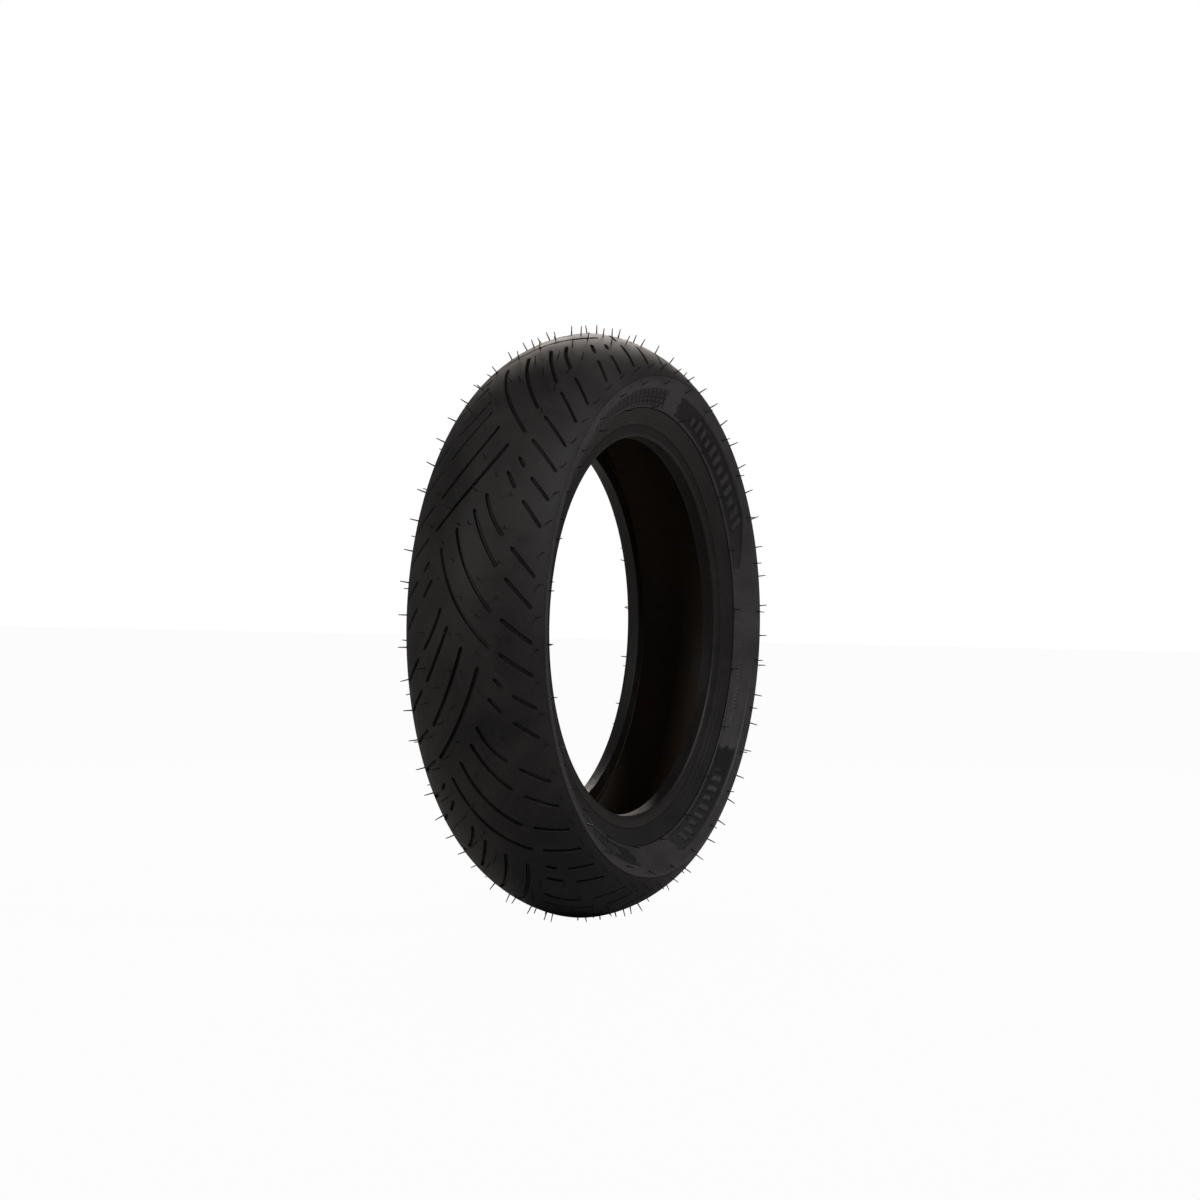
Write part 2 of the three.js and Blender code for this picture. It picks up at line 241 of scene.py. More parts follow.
def add_node(tree, kind, links=(), **values):
    """A node with its settings, and with its inputs linked or set."""
    node = tree.nodes.new(kind)
    for key, value in values.items():
        setattr(node, key, value)
    for socket, value in dict(links).items():
        if isinstance(value, bpy.types.NodeSocket):
            tree.links.new(value, node.inputs[socket])
        else:
            node.inputs[socket].default_value = value
    return node


def maths(tree, operation, first, second=0.0):
    """The result of one sum on two values."""
    return add_node(tree, "ShaderNodeMath", {0: first, 1: second}, operation=operation).outputs[0]


def moulded_rubber_group():
    """Rubber as a mould leaves it: a blotchy bloom that lightens and dulls it, and a fine grain."""
    tree = bpy.data.node_groups.new("moulded_rubber", "ShaderNodeTree")
    face = tree.interface
    for label, kind, value in (
        ("Rubber", "NodeSocketColor", (0.01, 0.01, 0.01, 1)),
        ("Bloom", "NodeSocketColor", (0.03, 0.03, 0.03, 1)),
        ("Bloom Scale", "NodeSocketFloat", 14.0),
        ("Bloom Amount", "NodeSocketFloat", 0.5),
        ("Grain Scale", "NodeSocketFloat", 900.0),
        ("Grain Depth", "NodeSocketFloat", 0.00012),
        ("Smoothest", "NodeSocketFloat", 0.4),
        ("Roughest", "NodeSocketFloat", 0.6),
    ):
        face.new_socket(label, in_out="INPUT", socket_type=kind).default_value = value
    face.new_socket("Color", in_out="OUTPUT", socket_type="NodeSocketColor")
    face.new_socket("Roughness", in_out="OUTPUT", socket_type="NodeSocketFloat")
    face.new_socket("Normal", in_out="OUTPUT", socket_type="NodeSocketVector")
    given = add_node(tree, "NodeGroupInput").outputs
    place = add_node(tree, "ShaderNodeTexCoord").outputs["Object"]
    blotch = add_node(tree, "ShaderNodeTexNoise", {
        "Vector": place, "Scale": given["Bloom Scale"], "Detail": 5.0, "Roughness": 0.62, "Distortion": 0.6,
    })
    spread = add_node(tree, "ShaderNodeMapRange", {
        "Value": blotch.outputs["Fac"], "From Min": 0.38, "From Max": 0.72,
        "To Min": 0.0, "To Max": given["Bloom Amount"],
    })
    colour = add_node(tree, "ShaderNodeMix", {
        "Factor": spread.outputs["Result"], COLOUR_A: given["Rubber"], COLOUR_B: given["Bloom"],
    }, data_type="RGBA")
    grain = add_node(tree, "ShaderNodeTexNoise", {
        "Vector": place, "Scale": given["Grain Scale"], "Detail": 3.0, "Roughness": 0.7,
    })
    speck = add_node(tree, "ShaderNodeMapRange", {
        "Value": grain.outputs["Fac"], "From Min": 0.25, "From Max": 0.75, "To Min": 0.85, "To Max": 1.15,
    })
    shade = add_node(tree, "ShaderNodeVectorMath", {
        0: colour.outputs[COLOUR_OUT], "Scale": speck.outputs["Result"],
    }, operation="SCALE")
    rough = add_node(tree, "ShaderNodeMapRange", {
        "Value": blotch.outputs["Fac"], "From Min": 0.3, "From Max": 0.7,
        "To Min": given["Smoothest"], "To Max": given["Roughest"],
    })
    bump = add_node(tree, "ShaderNodeBump", {
        "Height": grain.outputs["Fac"], "Distance": given["Grain Depth"], "Strength": 1.0,
    })
    result = add_node(tree, "NodeGroupOutput")
    tree.links.new(shade.outputs[0], result.inputs["Color"])
    tree.links.new(rough.outputs["Result"], result.inputs["Roughness"])
    tree.links.new(bump.outputs["Normal"], result.inputs["Normal"])
    return tree


MOULDED_RUBBER = moulded_rubber_group()


def rubber(name, settings, specular=0.3):
    """A rubber finish with its own values of the shared group: the material and its nodes."""
    material = bpy.data.materials.new(name)
    material.use_nodes = True
    tree = material.node_tree
    shader = tree.nodes["Principled BSDF"]
    skin = add_node(tree, "ShaderNodeGroup", node_tree=MOULDED_RUBBER)
    for label, value in settings.items():
        skin.inputs[label].default_value = value
    tree.links.new(skin.outputs["Color"], shader.inputs["Base Color"])
    tree.links.new(skin.outputs["Roughness"], shader.inputs["Roughness"])
    tree.links.new(skin.outputs["Normal"], shader.inputs["Normal"])
    shader.inputs["Specular IOR Level"].default_value = specular
    return material, tree, shader, skin


def turning_wave(tree, round_waves, across_turn=0.0):
    """A sine that repeats round the wheel, and turns across it by so many radians a metre."""
    place = add_node(tree, "ShaderNodeTexCoord").outputs["Object"]
    spot = add_node(tree, "ShaderNodeSeparateXYZ", {0: place})
    turn = maths(tree, "ARCTAN2", spot.outputs["X"], spot.outputs["Z"])
    round_phase = maths(tree, "MULTIPLY", turn, float(round_waves))
    across_phase = maths(tree, "MULTIPLY", spot.outputs["Y"], across_turn)
    return maths(tree, "SINE", maths(tree, "ADD", round_phase, across_phase))


def add_ridges(finish, height, distance, strength):
    """Lays a fine relief over the grain of a rubber finish."""
    tree, shader, skin = finish[1:]
    bump = add_node(tree, "ShaderNodeBump", {
        "Height": height, "Distance": distance, "Strength": strength, "Normal": skin.outputs["Normal"],
    })
    tree.links.new(bump.outputs["Normal"], shader.inputs["Normal"])


def cord_fabric(name, lean_degrees):
    """Rubberised cord: fine ridges that run round the wheel at an angle to its plane."""
    finish = rubber(name, {
        "Rubber": (0.05, 0.036, 0.022, 1), "Bloom": (0.13, 0.1, 0.06, 1), "Bloom Scale": 30.0,
        "Bloom Amount": 0.6, "Smoothest": 0.6, "Roughest": 0.8,
    })
    lean = math.radians(lean_degrees)
    round_cords = round(2 * math.pi * MEAN_RADIUS * math.cos(lean) / CORD_PITCH)
    across_turn = 2 * math.pi * math.sin(lean) / CORD_PITCH
    add_ridges(finish, turning_wave(finish[1], round_cords, across_turn), distance=0.0003, strength=0.7)
    return finish[0]


for band, lean in (
    ("carcass_ply_inner", 35), ("carcass_ply_outer", -35), ("belt_inner", 68), ("belt_outer", -68),
):
    cloth = spin(band + "_cords", eased(section_of(band), WHOLE_EDGE), cord_fabric(band + "_fabric", lean))
    stands_for(cloth, "cord_fabric", band)

# --- Beads --------------------------------------------------------------------------------
# Each bead is a bundle of bronzed steel wire in a fabric wrap, topped with a hard rubber
# filler that carries its stiffness up into the flank.

SIDES = {"left": -1, "right": 1}
WIRES_ACROSS = 5
WIRES_UP = 5
WIRE_FIT = 0.97           # a wire's share of its place in the bundle
CORNERS_LEFT_OUT = 1      # no wire in the two lower corners, where the bundle is rounded
WRAP_EASE = 0.0004
FILLER_EASE = 0.001


def bead_wire_material():
    """Bronze-plated steel with a patchy tarnish."""
    material = bpy.data.materials.new("bronzed_bead_wire")
    material.use_nodes = True
    tree = material.node_tree
    shader = tree.nodes["Principled BSDF"]
    place = add_node(tree, "ShaderNodeTexCoord").outputs["Object"]
    tarnish = add_node(tree, "ShaderNodeTexNoise", {"Vector": place, "Scale": 60.0, "Detail": 4.0})
    colour = add_node(tree, "ShaderNodeMix", {
        "Factor": tarnish.outputs["Fac"], COLOUR_A: (0.42, 0.3, 0.16, 1), COLOUR_B: (0.6, 0.48, 0.3, 1),
    }, data_type="RGBA")
    rough = add_node(tree, "ShaderNodeMapRange", {
        "Value": tarnish.outputs["Fac"], "To Min": 0.25, "To Max": 0.5,
    })
    tree.links.new(colour.outputs[COLOUR_OUT], shader.inputs["Base Color"])
    tree.links.new(rough.outputs["Result"], shader.inputs["Roughness"])
    shader.inputs["Metallic"].default_value = 1.0
    return material


def new_geometry_tree(name, **inputs):
    """A Geometry Nodes tree with named inputs, its group input's sockets and its output node."""
    tree = bpy.data.node_groups.new(name, "GeometryNodeTree")
    tree.interface.new_socket("Geometry", in_out="INPUT", socket_type="NodeSocketGeometry")
    for label, kind in inputs.items():
        tree.interface.new_socket(label, in_out="INPUT", socket_type="NodeSocket" + kind)
    tree.interface.new_socket("Geometry", in_out="OUTPUT", socket_type="NodeSocketGeometry")
    return tree, add_node(tree, "NodeGroupInput").outputs, add_node(tree, "NodeGroupOutput")


def grown(name, mesh, tree, **values):
    """The plain mesh that a tree makes of a base mesh, as one object."""
    base = bpy.data.objects.new(name + "_base", mesh)
    scene.collection.objects.link(base)
    modifier = base.modifiers.new("grow", "NODES")
    modifier.node_group = tree
    sockets = {item.name: item.identifier for item in tree.interface.items_tree if item.in_out == "INPUT"}
    for label, value in values.items():
        modifier[sockets[label]] = value
    made = bpy.data.meshes.new_from_object(base.evaluated_get(bpy.context.evaluated_depsgraph_get()))
    base.modifiers.remove(modifier)
    bpy.data.objects.remove(base)
    made.name = name
    piece = bpy.data.objects.new(name, made)
    scene.collection.objects.link(piece)
    return piece


def wire_bundle_tree():
    """Wires laid round the wheel, one hoop for each point of the base mesh."""
    tree, given, result = new_geometry_tree("wire_bundle", wire_radius="Float", metal="Material")
    circle = add_node(tree, "GeometryNodeCurvePrimitiveCircle", {"Resolution": 144})
    circle.inputs["Radius"].default_value = 1.0
    upright = add_node(tree, "GeometryNodeTransform", {
        "Geometry": circle.outputs["Curve"], "Rotation": (math.pi / 2, 0, 0),
    })
    radius = add_node(tree, "GeometryNodeInputNamedAttribute", {"Name": "hoop_radius"}, data_type="FLOAT")
    size = add_node(tree, "ShaderNodeCombineXYZ", {
        "X": radius.outputs["Attribute"], "Y": 1.0, "Z": radius.outputs["Attribute"],
    })
    hoops = add_node(tree, "GeometryNodeInstanceOnPoints", {
        "Points": given["Geometry"], "Instance": upright.outputs["Geometry"], "Scale": size.outputs[0],
    })
    real = add_node(tree, "GeometryNodeRealizeInstances", {"Geometry": hoops.outputs["Instances"]})
    profile = add_node(tree, "GeometryNodeCurvePrimitiveCircle", {"Resolution": 6})
    tree.links.new(given["wire_radius"], profile.inputs["Radius"])
    wires = add_node(tree, "GeometryNodeCurveToMesh", {
        "Curve": real.outputs["Geometry"], "Profile Curve": profile.outputs["Curve"],
    })
    finish = add_node(tree, "GeometryNodeSetMaterial", {
        "Geometry": wires.outputs["Mesh"], "Material": given["metal"],
    })
    tree.links.new(finish.outputs["Geometry"], result.inputs["Geometry"])
    return tree


WIRE_BUNDLE = wire_bundle_tree()
BRONZED_WIRE = bead_wire_material()
WRAP_FABRIC = cord_fabric("bead_wrap_fabric", 45)
HARD_RUBBER = rubber("bead_filler_rubber", {
    "Rubber": (0.012, 0.011, 0.011, 1), "Bloom": (0.03, 0.028, 0.026, 1), "Smoothest": 0.4, "Roughest": 0.6,
})[0]
for side in SIDES:
    core = "bead_core_" + side
    (across_low, up_low), (across_high, up_high) = section_of(core).min(0), section_of(core).max(0)
    wire_radius = min(across_high - across_low, up_high - up_low) / WIRES_ACROSS / 2 * WIRE_FIT
    across_places = np.linspace(across_low + wire_radius, across_high - wire_radius, WIRES_ACROSS)
    up_places = np.linspace(up_low + wire_radius, up_high - wire_radius, WIRES_UP)
    kept = [
        (across, up)
        for i, across in enumerate(across_places)
        for j, up in enumerate(up_places)
        if min(i, WIRES_ACROSS - 1 - i) + j >= CORNERS_LEFT_OUT
    ]
    hoop_points = bpy.data.meshes.new(core + "_hoops")
    hoop_points.from_pydata([(0, across, 0) for across, up in kept], [], [])
    hoop_radii = hoop_points.attributes.new("hoop_radius", "FLOAT", "POINT")
    hoop_radii.data.foreach_set("value", [up for across, up in kept])
    bundle = grown(
        core + "_wires", hoop_points, WIRE_BUNDLE, wire_radius=float(wire_radius), metal=BRONZED_WIRE,
    )
    stands_for(bundle, "bead_wire", core)
    wrap_outline = eased(section_of("bead_wrap_" + side), WRAP_EASE)
    wrap = spin("bead_wrap_%s_fabric" % side, wrap_outline, WRAP_FABRIC)
    stands_for(wrap, "cord_fabric", "bead_wrap_" + side)
    filler_outline = eased(section_of("bead_filler_" + side), FILLER_EASE)
    filler = spin("bead_filler_%s_wedge" % side, filler_outline, HARD_RUBBER)
    stands_for(filler, "base_rubber", "bead_filler_" + side)

# --- Under the tread ------------------------------------------------------------------------
# A cooler-running base compound bonds the tread to the belts, and a thin cushion of it on
# each side carries the belt edge.

BASE_RUBBER = rubber("base_compound", {
    "Rubber": (0.009, 0.009, 0.009, 1), "Bloom": (0.022, 0.021, 0.02, 1),
    "Smoothest": 0.5, "Roughest": 0.7,
})[0]
for node in ("undertread", "belt_edge_cushion_left", "belt_edge_cushion_right"):
    layer = spin(node + "_layer", eased(section_of(node), WHOLE_EDGE), BASE_RUBBER)
    stands_for(layer, "base_rubber", node)

# --- Inner liner ------------------------------------------------------------------------------
# The air-tight skin inside: soft brown-black rubber, a little shiny where the curing bladder
# pressed it, with the bladder's fine venting ridges running across the section.

LINER_RIDGES = 540
LINER_STEPS = 360
LINER_RUBBER = rubber("air_tight_liner", {
    "Rubber": (0.036, 0.021, 0.0095, 1), "Bloom": (0.08, 0.05, 0.028, 1), "Bloom Scale": 9.0,
    "Bloom Amount": 0.8, "Grain Depth": 0.0001, "Smoothest": 0.42, "Roughest": 0.62,
}, specular=0.2)
add_ridges(LINER_RUBBER, turning_wave(LINER_RUBBER[1], LINER_RIDGES), distance=0.0002, strength=0.2)
liner_outline = eased(section_of("inner_liner"), WHOLE_EDGE)
liner = spin("inner_liner_skin", liner_outline, LINER_RUBBER[0], around=LINER_STEPS)
stands_for(liner, "liner_rubber", "inner_liner")

# --- Chafers and rim cushions -------------------------------------------------------------------
# Tough rubber that seats on the rim and takes the chafe of its flange. It is moulded smooth,
# with two fine rings that show whether the tyre sits true.

BEAD_STEPS = 360
BEAD_FINENESS = 0.0006
CUSHION_EASE = 0.0022
CHAFER_EASE = 0.0014
BEAD_RINGS = (0.1935, 0.1977)      # their radii
BEAD_RING_HEIGHT = 0.0002
BEAD_RING_WIDTH = 0.0005
FACING_OUT = 0.3                   # share of a normal that points away from the wheel's middle
BEAD_RUBBER = rubber("bead_seat_rubber", {
    "Rubber": (0.0078, 0.0066, 0.006, 1), "Bloom": (0.022, 0.0195, 0.018, 1), "Bloom Scale": 18.0,
    "Bloom Amount": 0.7, "Smoothest": 0.36, "Roughest": 0.55,
}, specular=0.4)[0]


def refined(outline, step, wanted):
    """The outline with extra points, a step apart, on each wanted stretch of it."""
    points = []
    for start, end in zip(outline, np.roll(outline, -1, 0)):
        count = int(np.ceil(np.hypot(*(end - start)) / step)) if wanted(start, end) else 1
        points.extend(start + (end - start) * k / count for k in range(max(count, 1)))
    return np.array(points)


def outward(outline):
    """The unit normal at each point of a closed outline, pointing out of the solid."""
    travel = np.roll(outline, -1, 0) - np.roll(outline, 1, 0)
    normal = np.stack([travel[:, 1], -travel[:, 0]], -1)
    return np.sign(turn_of(outline)) * normal / np.hypot(*normal.T)[:, None]


for side, way in SIDES.items():
    for node, ease in (("rim_cushion_" + side, CUSHION_EASE), ("chafer_" + side, CHAFER_EASE)):
        outline = refined(eased(section_of(node), ease), BEAD_FINENESS, lambda start, end: True)
        normal = outward(outline)
        rings = sum(np.exp(-((outline[:, 1] - ring) / BEAD_RING_WIDTH) ** 2) for ring in BEAD_RINGS)
        raised = BEAD_RING_HEIGHT * rings * (normal[:, 0] * way > FACING_OUT)
        seat = spin(node + "_moulded", outline + normal * raised[:, None], BEAD_RUBBER, around=BEAD_STEPS)
        stands_for(seat, "bead_rubber", node)

# --- Sidewalls --------------------------------------------------------------------------------
# Thin flexible rubber over the plies. Its outer face is moulded with a serrated buttress under
# the tread, sunk panels with plain slanted bars, a block of bricks, a row of dashes and rim lines.

WALL_STEPS = 1500
WALL_FINENESS = 0.0011
WALL_EASE = 0.005
WALL_FACING_OUT = 0.25
RISING = 0.0002               # an edge that climbs more than this belongs to the outer face
PANEL_TOP, PANEL_FOOT = 0.2246, 0.2082
PANEL_MIDDLE = (PANEL_TOP + PANEL_FOOT) / 2
PANEL_DEPTH = 0.0009
PANELS = ((17, 76, 0.010), (125, 165, 0), (-172, -118, 0))     # from and to in degrees, and taper
TAPER_RUN = 0.05
TAPER_PLAIN = 3                              # plain floor for each metre of taper
PANEL_TOOTH, PANEL_TOOTH_RISE = 0.009, 0.0082
BAR_PITCH = 0.0132
BAR_FROM, BAR_TO = 0.14, 0.72                # shares of its pitch, as for the shapes below
BAR_HEIGHT = 0.0011
BAR_LEAN = 0.45
BAR_INSET = 0.0035
SHORT_BAR_DROP = 0.0022                      # every third bar is lower by this
BARS_AFTER, BARS_BEFORE = 0.024, 0.012       # plain floor at a panel's start and end
BAR_PALER = 0.9                              # how much of the panel's painted shade a bar is free of
HATCH_START, HATCH_END = -41.0, 9.0
BRICK_LENGTH, BRICK_RISE, BRICK_HEIGHT = 0.0088, 0.0041, 0.001
BRICK_FROM, BRICK_TO, ROW_FROM, ROW_TO = 0.08, 0.92, 0.14, 0.86
BRICK_SUNK = 0.6                             # share of a brick's height that its joints lie below the wall
WEDGE_DEGREES = 9
WEDGE_HEIGHT = 0.001
DASH_PITCH, DASH_GROUP = 0.0036, 0.031
DASH_FROM, DASH_TO, GROUP_FROM, GROUP_TO = 0.2, 0.75, 0.1, 0.86
DASH_START, DASH_END = 84, 117
DASH_FOOT, DASH_TOP, DASH_HEIGHT = 0.2132, 0.2158, 0.0004
SERRATION_PITCH, SERRATION_FROM, SERRATION_TO = 0.0058, 0.1, 0.8
SERRATION_FOOT, SERRATION_TOP, SERRATION_HEIGHT = 0.2285, 0.2312, 0.0003
PLAIN_ARC = 60                               # degrees each way with no serration
RIM_LINES = (0.2071, 0.2262)
RIM_LINE_HEIGHT, RIM_LINE_WIDTH = 0.0004, 0.0006
PANEL_LINES = 1440


def window(values, low, high, soft):
    """1 between the two limits and 0 outside, with a ramp of the given width."""
    return np.clip((values - low) / soft, 0, 1) * np.clip((high - values) / soft, 0, 1)


def wall_relief(angle, radius):
    """Height of the moulding on a sidewall, and where its colour gets painted shade: the sunk panels, less
    their raised bars, and the brick block's joints.
    """
    along = np.radians(angle) * PANEL_MIDDLE
    slanted = along + BAR_LEAN * (radius - PANEL_MIDDLE)
    height = 0 * along * radius
    sunk = 0 * along * radius
    for start, end, taper in PANELS:
        low, high = np.radians(start) * PANEL_MIDDLE, np.radians(end) * PANEL_MIDDLE
        top = PANEL_TOP - taper * np.clip((along - high + TAPER_RUN) / TAPER_RUN, 0, 1)
        tooth = np.abs(np.mod((radius - PANEL_FOOT) / PANEL_TOOTH_RISE, 1) - 0.5)
        jagged = slanted + PANEL_TOOTH * tooth
        panel = window(jagged, low, high, soft=0.0012) * window(radius, PANEL_FOOT, top, soft=0.0009)
        bar = np.floor(slanted / BAR_PITCH)
        bar_top = PANEL_TOP - BAR_INSET - SHORT_BAR_DROP * (np.mod(bar, 3) == 1)
        bars = window(np.mod(slanted / BAR_PITCH, 1), BAR_FROM, BAR_TO, soft=0.09)
        bars = bars * window(radius, PANEL_FOOT + BAR_INSET, bar_top, soft=0.0007)
        bars = bars * window(slanted, low + BARS_AFTER, high - BARS_BEFORE - TAPER_PLAIN * taper, soft=0.001)
        height = height + BAR_HEIGHT * bars - PANEL_DEPTH * panel
        # The sunk panel, less most of each raised bar, is marked for painted shade.
        sunk = np.maximum(sunk, panel * (1 - BAR_PALER * bars))
    row = (radius - PANEL_FOOT) / BRICK_RISE
    brick = along / BRICK_LENGTH + 0.5 * np.mod(np.floor(row), 2)
    block_start, block_end = np.radians(HATCH_START) * PANEL_MIDDLE, np.radians(HATCH_END) * PANEL_MIDDLE
    block = window(slanted, block_start, block_end, soft=0.001)
    block = block * window(radius, PANEL_FOOT, PANEL_TOP, soft=0.0007)
    bricks = window(np.mod(brick, 1), BRICK_FROM, BRICK_TO, soft=0.14)
    bricks = bricks * window(np.mod(row, 1), ROW_FROM, ROW_TO, soft=0.16)
    height = height + BRICK_HEIGHT * (bricks - BRICK_SUNK) * block
    wedge_start = np.radians(HATCH_START - WEDGE_DEGREES) * PANEL_MIDDLE
    wedge = window(slanted, wedge_start, block_start, soft=0.004)
    height = height + WEDGE_HEIGHT * wedge * window(radius, PANEL_FOOT, PANEL_TOP, soft=0.003)
    dash = window(np.mod(along / DASH_PITCH, 1), DASH_FROM, DASH_TO, soft=0.12)
    dash = dash * window(np.mod(along / DASH_GROUP, 1), GROUP_FROM, GROUP_TO, soft=0.02)
    dash = dash * window(angle, DASH_START, DASH_END, soft=0.3)
    height = height + DASH_HEIGHT * dash * window(radius, DASH_FOOT, DASH_TOP, soft=0.0006)
    serration = window(np.mod(along / SERRATION_PITCH, 1), SERRATION_FROM, SERRATION_TO, soft=0.3)
    serration = serration * window(radius, SERRATION_FOOT, SERRATION_TOP, soft=0.0008)
    height = height + SERRATION_HEIGHT * serration * (1 - window(angle, -PLAIN_ARC, PLAIN_ARC, soft=4))
    for line in RIM_LINES:
        height = height + RIM_LINE_HEIGHT * np.exp(-((radius - line) / RIM_LINE_WIDTH) ** 2)
    # The brick block's joints are marked for painted shade as well.
    return height, np.maximum(sunk, block * (1 - bricks))


def sidewall_material():
    """Greyer rubber than the tread's, finely lined where a panel is sunk, and darkened there and in the
    brick joints by painted shade.
    """
    finish = rubber("sidewall_rubber", {
        "Rubber": (0.041, 0.0375, 0.039, 1), "Bloom": (0.1, 0.092, 0.096, 1), "Bloom Scale": 12.0,
        "Bloom Amount": 0.65, "Smoothest": 0.34, "Roughest": 0.52,
    })
    material, tree, shader, skin = finish
    sunk = add_node(tree, "ShaderNodeAttribute", attribute_name="sunk_shade_and_lines").outputs["Fac"]
    lines = maths(tree, "MULTIPLY", turning_wave(tree, PANEL_LINES), sunk)
    add_ridges(finish, lines, distance=0.0002, strength=0.5)
    # Painted shade: the colour drops to a quarter in the sunk panels and brick joints.
    shade = add_node(tree, "ShaderNodeMapRange", {"Value": sunk, "To Min": 1.0, "To Max": 0.25})
    painted_shade_colour = add_node(tree, "ShaderNodeVectorMath", {
        0: skin.outputs["Color"], "Scale": shade.outputs["Result"],
    }, operation="SCALE")
    tree.links.new(painted_shade_colour.outputs[0], shader.inputs["Base Color"])
    return material


SIDEWALL_RUBBER = sidewall_material()
for side, way in SIDES.items():
    outline = eased(section_of("sidewall_" + side), WALL_EASE)
    climb = np.sign(turn_of(outline)) * way
    outline = refined(outline, WALL_FINENESS, lambda start, end: (end - start)[1] * climb > RISING)
    normal = outward(outline)
    shown = normal[:, 0] * way > WALL_FACING_OUT
    angle = np.arange(WALL_STEPS)[:, None] * 360 / WALL_STEPS
    angle = np.where(angle > 180, angle - 360, angle)
    if side == "right":
        angle = -angle
    height, sunk = wall_relief(angle, outline[None, :, 1])
    outlines = outline + normal * (height * shown)[..., None]
    wall = spin("sidewall_%s_moulded" % side, outlines, SIDEWALL_RUBBER, around=WALL_STEPS, crease=60)
    # Marks where the material paints shade and lays its fine lines.
    panels = wall.data.attributes.new("sunk_shade_and_lines", "FLOAT", "POINT")
    marked = (sunk * shown)[:, ::-1] if turn_of(outline) > 0 else sunk * shown
    panels.data.foreach_set("value", marked.ravel().astype(np.float32))
    stands_for(wall, "sidewall_rubber", "sidewall_" + side)

# --- Tread ----------------------------------------------------------------------------------
# The crown of tougher rubber. Eight repeats of curved grooves sweep in from each shoulder,
# the left side half a repeat round from the right, so that they interleave in the middle.

PITCHES = 8
HALF_PITCH = math.pi / PITCHES
TREAD_STEPS = 240
CROWN_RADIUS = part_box("tread_cap")[1][2]
EDGE_INSET = 0.0005             # keeps the tread's edge inside the frame
TREAD_EDGE = np.array((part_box("tread_cap")[1][1] - EDGE_INSET, 0.2358))
NORMAL_REACH = 0.001            # how far each way the slope of the crown is read
CURVE_STEPS = 400               # points on the crown's exact curve
CROWN_STEPS = 25                # points on each half of the finished crown
CROWN_HANDLE = 0.024
SHOULDER_HANDLE = 0.0245
SHOULDER_LEAN = math.radians(26)
GROOVE_WIDTH = 0.0034
GROOVE_DEPTH = 0.0042
SHOULDER_GROOVE_DEPTH = 0.0026
GROOVE_LIP = 0.0005             # rounded edge where a groove opens
GROOVE_END = 0.0024             # length of a groove's rounded end
GROOVE_END_SHARE = 0.25         # how wide its very end is, to its full width
GROOVE_FOOT_SHARE = 0.6         # how much of its depth does not taper
GROOVE_STEP = 0.002
FRAME_FLATS = 32                # fewer corners than this at one radius are not a ring of the frame
FLOOR_CLEAR = 0.003             # the underside lies at least this far below the crown
GROOVE_CREASE = math.radians(30)
CROWN_COSINE = 0.9              # a face turned no further than this from the crown follows it
CROWN_REACH = 0.0003            # a corner this close to the crown lies on it
GROOVES = [                     # degrees round the wheel, mm along the tread from its middle
    [(0, 70.5), (4.8, 48.5)], [(6.4, 72.5), (10.2, 50.5)], [(13.5, 71.8), (18.7, 40.5)],
    [(20.4, 71.8), (25.4, 41.8)], [(27.7, 71), (33.5, 43.8)], [(34.3, 71.8), (39.8, 45.8)],
    [(6.8, 40), (10.2, 28.8)], [(11.8, 42.8), (13.9, 35)],
    [(19.7, 32.8), (23.9, 15.3), (27.4, 3.7), (32.9, -11.7), (38.8, -21.5)],
    [(26.5, 33.8), (32.5, 14.3), (37.9, 0), (42.6, -6.7)],
    [(35.3, 36.1), (40.6, 20), (46.4, 7.1)], [(41.6, 38), (45.7, 23.7), (49.8, 15.5)],
]
crown_middle = np.array((0, CROWN_RADIUS))
crown_handle = np.array((CROWN_HANDLE, CROWN_RADIUS))
shoulder_way = np.array((-math.sin(SHOULDER_LEAN), math.cos(SHOULDER_LEAN)))
shoulder_handle = TREAD_EDGE + SHOULDER_HANDLE * shoulder_way
t = np.linspace(0, 1, CURVE_STEPS)[:, None]
crown_curve = (
    (1 - t) ** 3 * crown_middle + 3 * (1 - t) ** 2 * t * crown_handle
    + 3 * (1 - t) * t ** 2 * shoulder_handle + t ** 3 * TREAD_EDGE
)
crown_distance = np.concatenate([[0], np.cumsum(np.hypot(*np.diff(crown_curve, axis=0).T))])


def crown_spot(reach):
    """Lateral place and radius, a distance along the tread from its middle."""
    return [np.interp(reach, crown_distance, values) for values in crown_curve.T]


def on_crown(across):
    """Lateral place, radius and the section's outward normal, on either side of the middle."""
    reach = np.abs(across)
    lateral, radius = crown_spot(reach)
    ahead, behind = crown_spot(reach + NORMAL_REACH), crown_spot(reach - NORMAL_REACH)
    rise, run = behind[1] - ahead[1], ahead[0] - behind[0]
    length = np.hypot(rise, run)
    return np.sign(across) * lateral, radius, np.sign(across) * rise / length, run / length


def round_wheel(lateral, radius, angle):
    """The place at an angle round the wheel."""
    return np.stack([radius * np.sin(angle), lateral, radius * np.cos(angle)], -1)


def groove_line(groove):
    """A smooth line through a groove's points: angle in radians and metres along the tread."""
    degrees, across = np.array(groove, float).T
    angle, across = np.radians(degrees), across / 1000
    chord = np.concatenate([[0], np.cumsum(np.hypot(np.diff(angle) * CROWN_RADIUS, np.diff(across)))])
    spots = np.linspace(0, chord[-1], int(chord[-1] / GROOVE_STEP) + 2)
    bend = min(len(groove) - 1, 2)
    return [np.polyval(np.polyfit(chord, values, bend), spots) for values in (angle, across)]


